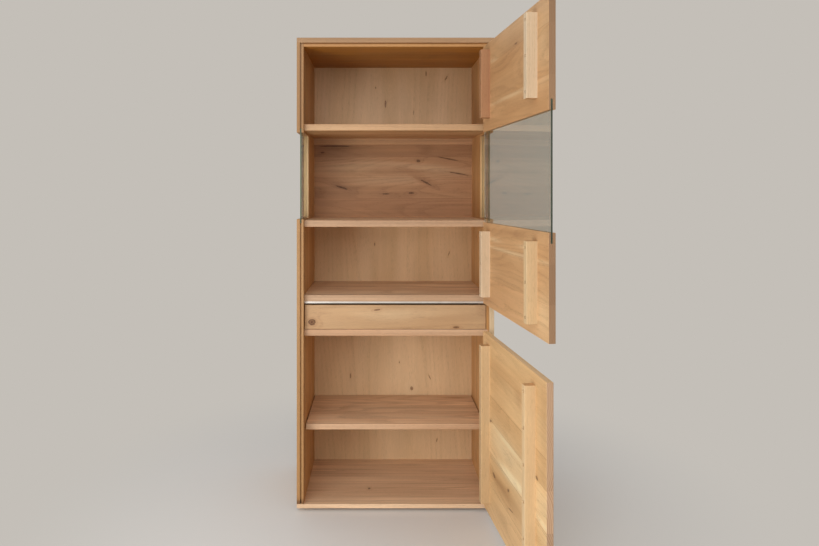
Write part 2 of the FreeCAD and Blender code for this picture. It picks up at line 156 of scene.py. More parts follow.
def knotOutline(tree, vector, away, stretch):
    wobble = scaled(tree, noise(tree, vector, stretch), knotLook["wobbleGain"], knotLook["wobbleBase"])
    bend = scaled(tree, calc(tree, "MULTIPLY", away, away), knotLook["bendFall"])
    return calc(tree, "MULTIPLY", away, wobble), calc(tree, "EXPONENT", bend)


def makeKnotSpot():
    tree, given, made = newGroup("knotSpot",
                                 {"Vector": "Vector", "Centre": "Vector", "Size": "Vector", "Tilt": "Float"},
                                 {"Field": "Float", "Dark": "Float"})
    local = vectorCalc(tree, "SUBTRACT", given["Vector"], given["Centre"])
    turn = addNode(tree, "ShaderNodeVectorRotate", rotation_type="Z_AXIS", invert=True)
    feed(tree, turn.inputs["Vector"], local)
    feed(tree, turn.inputs["Angle"], given["Tilt"])
    away = lengthOf(tree, vectorCalc(tree, "DIVIDE", turn.outputs[0], given["Size"]))
    rough, bend = knotOutline(tree, given["Vector"], away, knotLook["wobble"])
    rim = calc(tree, "MULTIPLY", ease(tree, rough, *knotLook["rimIn"]),
               ease(tree, rough, *knotLook["rimOut"], knotLook["rimDark"], 0.0))
    heart = calc(tree, "SUBTRACT", 1.0, ease(tree, rough, *knotLook["heart"]))
    body = ease(tree, rough, *knotLook["body"], knotLook["bodyDark"], 0.0)
    feed(tree, made["Field"], bend)
    feed(tree, made["Dark"], calc(tree, "MAXIMUM", calc(tree, "MAXIMUM", rim, heart), body))
    return tree


def makeLooseKnots():
    tree, given, made = newGroup("looseKnots",
                                 {"Vector": "Vector", "Density": "Float", "Radius": "Float",
                                  "Share": "Float"},
                                 {"Field": "Float", "Dark": "Float"})
    cells = addNode(tree, "ShaderNodeTexVoronoi", voronoi_dimensions="2D", feature="F1")
    stretched = vectorCalc(tree, "MULTIPLY", given["Vector"], knotLook["looseStretch"])
    feed(tree, cells.inputs["Vector"], stretched)
    feed(tree, cells.inputs["Scale"], given["Density"])
    chance = split(tree, cells.outputs["Color"], "Color")
    there = calc(tree, "LESS_THAN", chance[0], given["Share"])
    size = calc(tree, "MULTIPLY", given["Radius"], calc(tree, "ADD", knotLook["looseLeast"], chance[1]))
    away = calc(tree, "DIVIDE", calc(tree, "DIVIDE", cells.outputs["Distance"], given["Density"]), size)
    rough, bend = knotOutline(tree, given["Vector"], away, knotLook["looseWobble"])
    dark = ease(tree, rough, *knotLook["looseEdge"], knotLook["looseDark"], 0.0)
    feed(tree, made["Field"], calc(tree, "MULTIPLY", there, bend))
    feed(tree, made["Dark"], calc(tree, "MULTIPLY", there, dark))
    return tree


rubLook = {"patches": (30.0, 45.0, 45.0), "reach": 0.009, "start": -0.001}


def makeEdgeRub():
    # Distance to the nearest edge of the piece's own box, with an uneven reach.
    tree, given, made = newGroup("edgeRub", {"Vector": "Vector", "Middle": "Vector", "Half": "Vector"},
                                 {"Mask": "Float"})
    away = vectorCalc(tree, "ABSOLUTE", vectorCalc(tree, "SUBTRACT", given["Vector"], given["Middle"]))
    x, y, z = split(tree, vectorCalc(tree, "SUBTRACT", given["Half"], away))
    second = calc(tree, "MINIMUM", calc(tree, "MAXIMUM", x, y), z)
    second = calc(tree, "MAXIMUM", calc(tree, "MINIMUM", x, y), second)
    uneven = noise(tree, given["Vector"], rubLook["patches"], detail=3.0)
    reach = scaled(tree, uneven, rubLook["reach"], rubLook["start"])
    feed(tree, made["Mask"], ease(tree, second, 0.0, reach, 1.0, 0.0))
    return tree


grainLook = {
    # Noise stretches along, across and through a board
    "boardJump": (13.0, 5.0, 9.0), "heartWalk": (0.6, 1.0, 1.0), "drift": (1.2, 6.0, 6.0),
    "ripple": (3.0, 24.0, 24.0), "broad": (1.1, 9.0, 9.0), "cloud": (3.5, 13.0, 13.0),
    "streak": (1.5, 75.0, 75.0), "fiber": (14.0, 700.0, 700.0), "pore": (55.0, 1400.0, 1400.0),
    "fleck": (24.0, 320.0, 320.0),
    # Rings round the heart
    "heartSway": 0.24, "heartDepth": 0.08, "rippleDepth": 0.007, "knotPush": 0.012, "yearJump": 57.0,
    "ringRise": (0.0, 0.12), "ringFall": (0.16, 0.7), "ringLeast": 0.3,
    # Where each effect begins and ends
    "broadSpan": (0.3, 0.7), "poreSpan": (0.56, 0.68), "poreInRing": 0.8, "poreLeast": 0.3,
    "fleckSpan": (0.64, 0.74),
    # Colour
    "patchDark": 0.6, "toneGain": 0.4, "toneBase": 0.8, "fiberGain": 0.12, "cloudGain": 0.22,
    "fleckGain": 0.06, "poreDark": -0.3, "rubPale": 0.09, "knotHalo": 0.35, "seamDark": 0.35,
    "cutRing": 0.6, "cutGain": 0.6, "cutBase": 0.7,
    # Roughness and height
    "streakGloss": -0.16, "roughBase": 0.56, "endRough": 0.14, "rubRough": 0.06, "poreRough": 0.1,
    "fiberHeight": 0.5, "poreDepth": 0.6, "ringDepth": 0.25, "knotDepth": 0.6,
}


def makeOakGrain():
    tree, given, made = newGroup("oakGrain",
                                 {"Vector": "Vector", "Tone": "Float", "Luck": "Float", "Seam": "Float",
                                  "Field": "Float", "Dark": "Float", "Patch": "Float", "Rub": "Float",
                                  "End": "Float", "Pitch": "Float", "Wander": "Float", "Contrast": "Float",
                                  "Streak": "Float", "Early": "Color", "Middle": "Color", "Late": "Color",
                                  "Knot": "Color", "Cut": "Color", "Sap": "Color"},
                                 {"Color": "Color", "Roughness": "Float", "Height": "Float"})
    look = grainLook
    luck = given["Luck"]
    jump = join(tree, *[scaled(tree, luck, reach) for reach in look["boardJump"]])
    spot = vectorCalc(tree, "ADD", given["Vector"], jump)
    y, z = split(tree, given["Vector"])[1:]

    # The board's heart wanders beside and under it, and the rings are cylinders round that heart.
    trail = vectorCalc(tree, "ADD", vectorCalc(tree, "MULTIPLY", given["Vector"], (1.0, 0.0, 0.0)), jump)
    walk = split(tree, noise(tree, trail, look["heartWalk"], detail=1.0, output=1), "Color")
    side = calc(tree, "SUBTRACT", y, scaled(tree, walk[0], look["heartSway"], -look["heartSway"] / 2))
    under = calc(tree, "ADD", z, scaled(tree, walk[1], look["heartDepth"]))
    radius = lengthOf(tree, join(tree, 0.0, side, under))
    drift = noise(tree, spot, look["drift"])
    ripple = noise(tree, spot, look["ripple"])
    radius = calc(tree, "ADD", radius, calc(tree, "MULTIPLY", drift, given["Wander"]))
    radius = calc(tree, "ADD", radius, scaled(tree, ripple, look["rippleDepth"]))
    radius = calc(tree, "ADD", radius, scaled(tree, given["Field"], look["knotPush"]))
    phase = calc(tree, "DIVIDE", radius, given["Pitch"])
    year = addNode(tree, "ShaderNodeTexWhiteNoise", noise_dimensions="1D")
    count = calc(tree, "ADD", calc(tree, "FLOOR", phase), scaled(tree, luck, look["yearJump"]))
    feed(tree, year.inputs["W"], count)
    saw = calc(tree, "FRACT", phase)
    ring = calc(tree, "MULTIPLY", ease(tree, saw, *look["ringRise"]),
                ease(tree, saw, *look["ringFall"], 1.0, 0.0))
    strength = scaled(tree, year.outputs[0], 1.0 - look["ringLeast"], look["ringLeast"])
    ring = calc(tree, "MULTIPLY", ring, strength)

    broad = ease(tree, noise(tree, spot, look["broad"]), *look["broadSpan"])
    cloud = noise(tree, spot, look["cloud"], detail=3.0)
    streak = noise(tree, spot, look["streak"], detail=3.0, roughness=0.6)
    fiber = noise(tree, spot, look["fiber"])
    pore = ease(tree, noise(tree, spot, look["pore"], detail=1.0), *look["poreSpan"])
    pore = calc(tree, "MULTIPLY", pore, scaled(tree, ring, look["poreInRing"], look["poreLeast"]))
    fleck = ease(tree, noise(tree, spot, look["fleck"], detail=1.0), *look["fleckSpan"])

    color = mixColor(tree, broad, given["Early"], given["Middle"])
    pale = calc(tree, "MAXIMUM", given["Patch"], 0.0)
    shade = calc(tree, "MAXIMUM", calc(tree, "MULTIPLY", given["Patch"], -1.0), 0.0)
    color = mixColor(tree, pale, color, given["Sap"])
    color = mixColor(tree, calc(tree, "MULTIPLY", shade, look["patchDark"]), color, given["Late"])
    color = mixColor(tree, calc(tree, "MULTIPLY", ring, given["Contrast"]), color, given["Late"])
    level = scaled(tree, given["Tone"], look["toneGain"], look["toneBase"])
    for value, gain in ((fiber, look["fiberGain"]), (cloud, look["cloudGain"]), (fleck, look["fleckGain"])):
        level = calc(tree, "MULTIPLY", level, scaled(tree, value, gain, 1.0 - gain / 2))
    streakGain = scaled(tree, streak, given["Streak"], scaled(tree, given["Streak"], -0.5, 1.0))
    level = calc(tree, "MULTIPLY", level, streakGain)
    level = calc(tree, "MULTIPLY", level, scaled(tree, pore, look["poreDark"], 1.0))
    level = calc(tree, "MULTIPLY", level, scaled(tree, given["Rub"], look["rubPale"], 1.0))
    color = mixColor(tree, 1.0, color, level, "MULTIPLY")
    color = mixColor(tree, scaled(tree, given["Field"], look["knotHalo"]), color, given["Late"])
    color = mixColor(tree, scaled(tree, given["Seam"], look["seamDark"]), color, given["Late"])
    color = mixColor(tree, given["Dark"], color, given["Knot"])
    cut = mixColor(tree, scaled(tree, ring, look["cutRing"]), given["Cut"], given["Late"])
    cut = mixColor(tree, 1.0, cut, scaled(tree, given["Tone"], look["cutGain"], look["cutBase"]), "MULTIPLY")
    feed(tree, made["Color"], mixColor(tree, given["End"], color, cut))

    rough = scaled(tree, streak, look["streakGloss"], look["roughBase"])
    rough = calc(tree, "ADD", rough, scaled(tree, given["End"], look["endRough"]))
    rough = calc(tree, "ADD", rough, scaled(tree, given["Rub"], look["rubRough"]))
    feed(tree, made["Roughness"], calc(tree, "ADD", rough, scaled(tree, pore, look["poreRough"])))
    height = scaled(tree, fiber, look["fiberHeight"])
    for value, depth in ((pore, look["poreDepth"]), (ring, look["ringDepth"]),
                         (given["Dark"], look["knotDepth"])):
        height = calc(tree, "SUBTRACT", height, scaled(tree, value, depth))
    feed(tree, made["Height"], calc(tree, "SUBTRACT", height, given["Seam"]))
    return tree


knotSpot = makeKnotSpot()
looseKnots = makeLooseKnots()
edgeRub = makeEdgeRub()
oakGrain = makeOakGrain()
print("wood effects ready")


# Each piece is drawn on its own axes, with the doors as if they were shut

axisNames = {"x": Vector((1, 0, 0)), "y": Vector((0, 1, 0)), "z": Vector((0, 0, 1))}
swings = {joint["child"]: joint for joint in frame["joints"] if joint["type"] == "hinge"}


def doorOf(name):
    return next((door for door in swings if name.startswith(door)), None)


def pieceFrame(name, along, across):
    axes = Matrix((axisNames[along], axisNames[across], axisNames[along].cross(axisNames[across])))
    door = doorOf(name)
    if door is None:
        return axes, Vector((0, 0, 0))
    swing = swings[door]
    hinge = Vector((swing["pos_m"][0], swing["pos_m"][1], 0))
    turn = axes @ Matrix.Rotation(math.radians(swing["range_deg"][0]), 3, "Z")
    return turn, axes @ hinge - turn @ hinge


def pieceBox(name, turn, shift):
    corners = [turn @ vertex.co + shift for vertex in pieces[name].data.vertices]
    low = Vector([min(corner[i] for corner in corners) for i in range(3)])
    high = Vector([max(corner[i] for corner in corners) for i in range(3)])
    return low, high


def pieceMapping(tree, socket, turn, shift=None):
    node = addNode(tree, "ShaderNodeMapping", vector_type="VECTOR" if shift is None else "POINT")
    feed(tree, node.inputs["Vector"], socket)
    node.inputs["Rotation"].default_value = turn.to_euler("XYZ")
    if shift is not None:
        node.inputs["Location"].default_value = shift
    return node.outputs[0]


def newMaterial(name):
    material = bpy.data.materials.new(name)
    material.use_nodes = True
    tree = material.node_tree
    tree.nodes.clear()
    shader = addNode(tree, "ShaderNodeBsdfPrincipled")
    output = addNode(tree, "ShaderNodeOutputMaterial")
    tree.links.new(shader.outputs[0], output.inputs["Surface"])
    return material, tree, shader, output


def dress(name, material):
    piece = pieces[name]
    if not piece.material_slots:
        piece.data.materials.append(material)
    for holder in piece.material_slots:
        holder.material = material


# Wood. A board is (width, tone), a knot (along, across, half length, half width, tilt),
# and a patch is a knot's place with a strength after it; lengths are in metres.

woodLook = {"seamHalf": 0.0005, "endSpan": (0.55, 0.8), "boardShift": 3.1, "knotShift": (1.7, 2.3),
            "bumpDistance": 0.0005}


def boardRamp(tree, place, low, high, boards, seed):
    # Red is a board's tone, green its middle and blue its luck; the seams are in the alpha.
    total = sum(width for width, tone in boards)
    dice = random.Random(seed)
    ramp = addNode(tree, "ShaderNodeValToRGB")
    ramp.color_ramp.interpolation = "CONSTANT"
    feed(tree, ramp.inputs[0], calc(tree, "DIVIDE", calc(tree, "SUBTRACT", place, low), high - low))
    stops = ramp.color_ramp.elements
    stops.remove(stops[1])
    edge = 0.0
    seamShare = woodLook["seamHalf"] / (high - low)
    for index, (width, tone) in enumerate(boards):
        share = width / total
        mark = (tone, edge + share / 2, dice.random())
        stop = stops[0] if index == 0 else stops.new(min(1.0, edge + seamShare))
        stop.color = (*mark, 0.0)
        edge += share
        if index < len(boards) - 1:
            stops.new(edge - seamShare).color = (*mark, 1.0)
    tone, middle, luck = split(tree, ramp.outputs[0], "Color")[:3]
    local = calc(tree, "SUBTRACT", place, scaled(tree, middle, high - low, low))
    return tone, luck, local, ramp.outputs[1]


def addSpot(tree, vector, along, across, length, width, tilt):
    return placeGroup(tree, knotSpot, Vector=vector, Centre=(along, across, 0.0), Size=(length, width, 1.0),
                      Tilt=math.radians(tilt))


def addKnots(tree, vector, look, knots, seed):
    field, dark = 0.0, 0.0
    if look["knotShare"] > 0:
        along, across = woodLook["knotShift"]
        moved = vectorCalc(tree, "ADD", vector, (seed * along, seed * across, 0.0))
        loose = placeGroup(tree, looseKnots, Vector=moved, Density=look["knotDensity"],
                           Radius=look["knotRadius"], Share=look["knotShare"])
        field, dark = loose["Field"], loose["Dark"]
    for knot in knots:
        spot = addSpot(tree, vector, *knot)
        field = calc(tree, "ADD", field, spot["Field"])
        dark = calc(tree, "MAXIMUM", dark, spot["Dark"])
    return field, dark


def addPatches(tree, vector, patches):
    # Soft patches towards the sapwood colour where the strength is above zero and towards the late-wood
    # colour where it is below: sapwood and dark figure, and on the shelf and inner-top front edges painted
    # light and shade.
    total = 0.0
    for *place, strength in patches:
        total = scaled(tree, addSpot(tree, vector, *place)["Field"], strength, total)
    return total


paintedEdgeBand = {"halfLength": 1.0, "halfWidth": 0.004}


def paintedEdgeLight(name, strength):
    # A patch of painted light and shade on a board's front edge: painted shade where the strength is below
    # zero, painted light where it is above.
    front = pieces[name].bound_box[0][1]
    return (0.0, front, paintedEdgeBand["halfLength"], paintedEdgeBand["halfWidth"], 0, strength)


def dressWood(name, look, along, across, seed, boards, knots=(), patches=()):
    material, tree, shader = newMaterial(name + "Wood")[:3]
    coordinates = addNode(tree, "ShaderNodeTexCoord")
    turn, shift = pieceFrame(name, along, across)
    low, high = pieceBox(name, turn, shift)
    flat = pieceMapping(tree, coordinates.outputs["Object"], turn, shift)
    facing = split(tree, pieceMapping(tree, coordinates.outputs["Normal"], turn))
    endMask = ease(tree, calc(tree, "ABSOLUTE", facing[0]), *woodLook["endSpan"])
    x, y, z = split(tree, flat)
    tone, luck, local, seam = boardRamp(tree, y, low.y, high.y, boards, seed)
    vector = join(tree, calc(tree, "ADD", x, seed * woodLook["boardShift"]), local, z)
    field, dark = addKnots(tree, flat, look, knots, seed)
    rub = placeGroup(tree, edgeRub, Vector=flat, Middle=(low + high) / 2, Half=(high - low) / 2)
    wood = placeGroup(tree, oakGrain, Vector=vector, Tone=tone, Luck=luck, Seam=seam, Field=field, Dark=dark,
                      Patch=addPatches(tree, flat, patches), Rub=rub["Mask"], End=endMask,
                      Pitch=look["pitch"], Wander=look["wander"], Contrast=look["contrast"],
                      Streak=look["streak"],
                      Early=tint(*look["early"]), Middle=tint(*look["middle"]), Late=tint(*look["late"]),
                      Knot=tint(*look["knot"]), Cut=tint(*look["cut"]), Sap=tint(*look["sap"]))
    tree.links.new(wood["Color"], shader.inputs["Base Color"])
    tree.links.new(wood["Roughness"], shader.inputs["Roughness"])
    shader.inputs["Specular IOR Level"].default_value = look["shine"]
    addBump(tree, shader, wood["Height"], look["bump"], woodLook["bumpDistance"])
    dress(name, material)


# Case and shelves in oiled knotty oak

caseOak = {
    "early": (216, 176, 132), "middle": (203, 160, 115), "late": (150, 102, 62), "knot": (84, 52, 30),
    "cut": (190, 146, 104), "sap": (232, 204, 164), "pitch": 0.0045, "wander": 0.02, "contrast": 0.26,
    "streak": 0.22, "knotDensity": 6.0, "knotRadius": 0.008, "knotShare": 0.18, "shine": 0.35, "bump": 0.25,
}
sideOak = dict(caseOak, early=(211, 164, 109), middle=(198, 148, 91))
# shadedInnerOak is a darker, more saturated copy of the side oak: painted shade for the underside of the
# inner top, which sits in shade
shadedInnerOak = dict(sideOak, early=(187, 125, 48), middle=(169, 107, 34), knotShare=0.0)
# shelfOakPaintedSheen is paler and greyer than the case oak: partly the shelves' own tone and partly painted
# sheen for their tops
shelfOakPaintedSheen = dict(caseOak, early=(236, 202, 166), middle=(214, 176, 140), streak=0.62, knotShare=0.0, shine=0.5)
# shadedShelfOak is a darker copy of the shelf oak: painted shade for the upper shelf, which is seen only from
# below
shadedShelfOak = dict(shelfOakPaintedSheen, early=(212, 166, 118), middle=(190, 140, 92))

sides = {
    "left_side_panel": {
        "boards": [(0.07, 0.05), (0.09, 0.45), (0.10, 0.55), (0.10, 0.4), (0.08, 0.5)],
        "patches": [(1.55, -0.215, 0.25, 0.03, 0, -0.8), (0.45, -0.215, 0.3, 0.02, 0, -0.3),
                    (1.26, -0.045, 0.18, 0.004, 0, 0.5)],
    },
    "right_side_panel": {
        "boards": [(0.07, 0.4), (0.09, 0.45), (0.10, 0.55), (0.10, 0.4), (0.08, 0.5)],
        "patches": [(0.74, -0.222, 0.12, 0.005, 0, 1.0), (1.26, -0.045, 0.18, 0.004, 0, 0.25)],
    },
}
for seed, (name, side) in enumerate(sides.items()):
    dressWood(name, sideOak, "z", "y", seed, **side)

bottomPanel = {
    "boards": [(0.09, 0.6), (0.10, 0.5), (0.09, 0.5), (0.08, 0.5), (0.08, 0.4)],
    "knots": [(-0.10, -0.085, 0.004, 0.006, 0)], "patches": [(0.0, -0.225, 0.5, 0.008, 0, 0.15)],
}
dressWood("bottom_panel", shelfOakPaintedSheen, "x", "y", 2, **bottomPanel)

topPanel = {
    "boards": [(0.09, 0.1), (0.10, 0.5), (0.10, 0.6), (0.15, 0.45)],
    "patches": [(0.0, -0.22, 1.0, 0.008, 0, -1.4)],
}
dressWood("top_panel", caseOak, "x", "y", 3, **topPanel)

innerTop = {
    "boards": [(0.10, 0.5), (0.11, 0.2), (0.10, 0.3), (0.10, 0.15)],
    # painted light on the inner top's front edge, lifting it back from the painted shade of the shaded
    # inner-top colour
    "patches": [paintedEdgeLight("inner_top_panel", 0.35)],
}
dressWood("inner_top_panel", shadedInnerOak, "x", "y", 4, **innerTop)

# Each shelf's edge strength is painted shade on its front edge, taking back the painted sheen of the paler
# shelf colour; on the darker upper shelf it is painted light
shelves = {
    "upper_shelf": {
        "look": shadedShelfOak, "edge": 0.3, "marks": [],
        "boards": [(0.06, 0.4), (0.09, 0.5), (0.10, 0.4), (0.09, 0.5), (0.07, 0.45)],
    },
    "middle_shelf": {
        "look": shelfOakPaintedSheen, "edge": -0.85, "marks": [],
        "boards": [(0.07, 0.5), (0.10, 0.45), (0.08, 0.55), (0.09, 0.4), (0.07, 0.5)],
    },
    "lower_shelf": {
        "look": shelfOakPaintedSheen, "edge": -0.85, "marks": [],
        "boards": [(0.05, 0.25), (0.08, 0.35), (0.10, 0.5), (0.09, 0.4), (0.09, 0.3)],
    },
    "drawer_shelf": {
        "look": shelfOakPaintedSheen, "edge": -0.85, "marks": [],
        "boards": [(0.08, 0.6), (0.10, 0.45), (0.10, 0.5), (0.09, 0.45)],
    },
    "loose_shelf": {
        "look": shelfOakPaintedSheen, "edge": -0.85,
        "marks": [(0.27, 0.165, 0.026, 0.005, 0, -1.2), (0.29, 0.12, 0.03, 0.004, -6, -0.5)],
        "boards": [(0.06, 0.85), (0.08, 0.5), (0.09, 0.4), (0.09, 0.55), (0.06, 0.45)],
    },
}
for seed, (name, shelf) in enumerate(shelves.items(), 5):
    dressWood(name, shelf["look"], "x", "y", seed, shelf["boards"],
              patches=[paintedEdgeLight(name, shelf["edge"])] + shelf["marks"])
print("case and shelves done")


# Doors, each panel glued up from boards that run across the door

doorOak = dict(caseOak, early=(214, 170, 122), middle=(200, 152, 104), sap=(238, 216, 172),
               cut=(156, 122, 91), knot=(72, 40, 18), wander=0.03, contrast=0.18, knotShare=0.0)
lowerDoorOak = dict(doorOak, early=(229, 191, 139), middle=(216, 174, 122), cut=(192, 156, 124),
                    contrast=0.1, pitch=0.0055)
doorPanels = {
    "upper_door_top_panel": {
        "look": doorOak, "boards": [(0.0955, 0.55), (0.142, 0.45), (0.081, 0.35)],
        "knots": [(-0.05, 1.664, 0.010, 0.002, 0)],
        "patches": [(-0.02, 1.664, 0.06, 0.016, -4, -0.5), (0.20, 1.66, 0.03, 0.003, 3, 0.4),
                    (0.10, 1.56, 0.10, 0.012, 2, -0.25), (-0.28, 1.62, 0.03, 0.03, 0, 0.2),
                    (0.05, 1.508, 0.18, 0.003, 0, 0.35)],
    },
    "upper_door_lower_panel": {
        "look": doorOak, "boards": [(0.1045, 0.55), (0.1095, 0.38), (0.089, 0.5)],
        "patches": [(-0.02, 1.0005, 0.20, 0.003, 0, 0.5), (0.20, 1.03, 0.04, 0.004, 2, 0.4),
                    (-0.16, 1.031, 0.04, 0.004, -2, 0.4), (0.02, 1.064, 0.10, 0.006, -3, -0.5),
                    (-0.10, 1.056, 0.07, 0.006, 5, -0.4), (0.0, 0.93, 0.12, 0.01, 1, -0.2),
                    (-0.29, 0.85, 0.04, 0.03, 0, 0.25)],
    },
    "lower_door_panel": {
        "look": lowerDoorOak,
        "boards": [(0.119, 0.5), (0.114, 0.4), (0.116, 0.66), (0.086, 0.5), (0.105, 0.5), (0.1075, 0.52)],
        "knots": [(0.196, 0.203, 0.016, 0.005, 12), (0.021, 0.226, 0.009, 0.004, -18),
                  (-0.007, 0.174, 0.022, 0.0016, -8), (0.243, 0.378, 0.012, 0.004, -14),
                  (-0.262, 0.384, 0.009, 0.004, 8)],
        "patches": [(0.06, 0.335, 0.14, 0.026, 0, 0.6), (-0.02, 0.279, 0.07, 0.007, -4, 1.3),
                    (-0.31, 0.33, 0.05, 0.03, 0, 0.2), (-0.31, 0.277, 0.05, 0.004, 0, 0.6),
                    (0.13, 0.202, 0.05, 0.007, -3, -0.7), (0.03, 0.19, 0.06, 0.012, -6, -0.35),
                    (-0.33, 0.56, 0.04, 0.06, 0, -0.5), (-0.09, 0.555, 0.02, 0.012, 0, -0.5),
                    (0.03, 0.372, 0.08, 0.004, 0, 0.6), (-0.31, 0.40, 0.03, 0.02, 0, -0.3),
                    (0.08, 0.575, 0.14, 0.012, 0, -0.3), (0.10, 0.10, 0.10, 0.012, 2, -0.2)],
    },
}
for seed, (name, panel) in enumerate(doorPanels.items(), 11):
    dressWood(name, along="x", across="z", seed=seed, **panel)

battenOak = dict(caseOak, early=(228, 199, 156), middle=(215, 182, 138), late=(186, 140, 92),
                 cut=(206, 164, 118), contrast=0.2, streak=0.14, knotShare=0.0, shine=0.15)
paleOak = dict(battenOak, early=(228, 206, 174), middle=(216, 190, 157))
reddishOak = dict(battenOak, early=(182, 136, 100), middle=(170, 122, 88), late=(140, 92, 60),
                  cut=(170, 122, 84))
battens = {
    "upper_door_top_hinge_batten": (reddishOak, 0.45), "upper_door_top_free_batten": (paleOak, 0.45),
    "upper_door_lower_hinge_batten": (paleOak, 0.55), "upper_door_lower_free_batten": (battenOak, 0.3),
    "lower_door_hinge_batten": (battenOak, 0.35), "lower_door_free_batten": (battenOak, 0.5),
}
for seed, (name, (look, tone)) in enumerate(battens.items(), 15):
    dressWood(name, look, "z", "x", seed, [(1.0, tone)])
print("doors done")


# Drawer front, lining of the display bay and plywood back

wholeBoard = [(1.0, 0.5)]
drawerOak = dict(caseOak, early=(200, 163, 122), middle=(184, 146, 106), knot=(70, 36, 12), knotShare=0.0,
                 contrast=0.14, streak=0.24)
drawerFront = {
    "boards": wholeBoard,
    "knots": [(-0.315, 0.706, 0.012, 0.010, 0), (0.230, 0.686, 0.009, 0.003, 0),
              (-0.07, 0.752, 0.010, 0.0025, 8)],
    "patches": [(0.0, 0.735, 0.10, 0.012, 3, 0.3), (-0.20, 0.72, 0.05, 0.01, -4, -0.25),
                (0.16, 0.70, 0.08, 0.01, 4, -0.2), (-0.315, 0.706, 0.006, 0.005, 0, -1.4),
                (0.230, 0.686, 0.006, 0.003, 0, -0.8)],
}
dressWood("drawer_front", drawerOak, "x", "z", 23, **drawerFront)

liningOak = dict(caseOak, early=(188, 142, 100), middle=(172, 126, 88), late=(120, 78, 48), knot=(70, 38, 20),
                 knotShare=0.0, wander=0.03, contrast=0.16, streak=0.42)
railOak = dict(liningOak, early=(206, 162, 122), middle=(194, 150, 110))
displayLining = {
    # The board tones fall from bottom to top: partly the lining's own board-to-board tone and partly painted
    # shade under the shelf above
    "boards": [(0.08, 0.85), (0.09, 0.68), (0.09, 0.56), (0.08, 0.44)],
    "knots": [(-0.253, 1.398, 0.055, 0.0028, 0), (-0.308, 1.370, 0.007, 0.003, 0),
              (0.110, 1.334, 0.007, 0.005, 0), (0.240, 1.343, 0.040, 0.0022, -11),
              (0.283, 1.279, 0.034, 0.0022, -10), (0.144, 1.239, 0.024, 0.003, -28),
              (-0.227, 1.219, 0.024, 0.0032, -18), (0.080, 1.194, 0.010, 0.0036, 0),
              (-0.030, 1.190, 0.014, 0.002, 0)],
    "patches": [(0.148, 1.386, 0.016, 0.010, 25, -0.6), (0.0, 1.25, 0.10, 0.010, 2, 0.2),
                (0.18, 1.30, 0.08, 0.008, -6, 0.25), (-0.15, 1.31, 0.09, 0.012, 4, 0.2),
                (-0.24, 1.386, 0.05, 0.006, 0, -0.6), (0.04, 1.197, 0.06, 0.006, 0, -0.5),
                (0.15, 1.244, 0.03, 0.006, -26, -0.5), (-0.22, 1.223, 0.035, 0.006, -16, -0.5),
                (0.11, 1.340, 0.05, 0.005, 0, -0.35)],
}
dressWood("display_back_panel", liningOak, "x", "z", 27, **displayLining)
dressWood("display_back_rail", railOak, "x", "z", 28, wholeBoard)

plywood = dict(caseOak, early=(226, 190, 146), middle=(212, 174, 128), late=(184, 142, 98),
               knot=(104, 54, 20), pitch=0.014, wander=0.05, contrast=0.07, streak=0.09, knotShare=0.0,
               bump=0.12)
plywoodBack = {
    "boards": wholeBoard,
    "knots": [(0.393, -0.186, 0.010, 0.0025, 0), (0.338, 0.082, 0.007, 0.006, 0),
              (0.112, 0.192, 0.007, 0.0016, 10), (1.584, -0.033, 0.013, 0.003, 0),
              (1.697, 0.233, 0.010, 0.0025, 30), (1.716, 0.145, 0.008, 0.002, 0),
              (0.928, 0.245, 0.010, 0.0014, 20), (0.452, 0.028, 0.004, 0.0016, 0),
              (1.655, -0.076, 0.004, 0.0018, 0), (0.388, 0.160, 0.010, 0.0013, -25),
              (0.97, -0.08, 0.006, 0.002, 0), (1.546, 0.09, 0.010, 0.001, 4)],
    "patches": [(0.338, 0.082, 0.012, 0.012, 0, 0.5), (0.25, 0.05, 0.25, 0.3, 0, 0.35),
                (1.58, 0.0, 0.05, 0.09, 0, 0.25)],
}
dressWood("back_panel", plywood, "z", "x", 31, **plywoodBack)

boxWood = dict(plywood, early=(226, 194, 152), middle=(216, 180, 136), late=(190, 150, 106), pitch=0.005,
               wander=0.02, contrast=0.2)
boxPlywood = dict(boxWood, pitch=0.014, wander=0.05, contrast=0.07)
# shadedPlinthWood is near black: painted shade for the plinth in the recess under the cabinet
shadedPlinthWood = dict(caseOak, early=(70, 52, 38), middle=(58, 42, 30), late=(40, 28, 20), cut=(48, 34, 24),
                  knotShare=0.0)
beech = dict(boxWood, early=(226, 186, 146), middle=(214, 172, 130))
innerPieces = {
    "drawer_left_side": (boxWood, "y", "z", 33, 0.5), "drawer_right_side": (boxWood, "y", "z", 34, 0.5),
    "drawer_back": (boxWood, "x", "z", 35, 0.45), "drawer_bottom": (boxPlywood, "x", "y", 36, 0.55),
    "left_drawer_kicker": (boxWood, "y", "z", 37, 0.4), "right_drawer_kicker": (boxWood, "y", "z", 38, 0.4),
    "plinth_board": (shadedPlinthWood, "x", "y", 39, 0.5), "case_dowels": (beech, "z", "x", 40, 0.5),
}
for name, (look, along, across, seed, tone) in innerPieces.items():
    dressWood(name, look, along, across, seed, [(1.0, tone)])
print("drawer, lining and back done")


# Metal

metalLook = {"stain": (25.0, 25.0, 25.0), "stainSpan": (0.3, 0.7), "bump": 0.1, "bumpDistance": 0.0002}


def dressMetal(names, label, look):
    material, tree, shader = newMaterial(label)[:3]
    coordinates = addNode(tree, "ShaderNodeTexCoord")
    brush = noise(tree, coordinates.outputs["Object"], look["brush"], detail=3.0)
    stain = noise(tree, coordinates.outputs["Object"], metalLook["stain"])
    stain = ease(tree, stain, *metalLook["stainSpan"])
    color = mixColor(tree, stain, tint(*look["bright"]), tint(*look["dull"]))
    tree.links.new(color, shader.inputs["Base Color"])
    tree.links.new(scaled(tree, brush, look["roughSpread"], look["rough"]), shader.inputs["Roughness"])
    shader.inputs["Metallic"].default_value = 1.0
    addBump(tree, shader, brush, metalLook["bump"], metalLook["bumpDistance"])
    for name in names:
        dress(name, material)


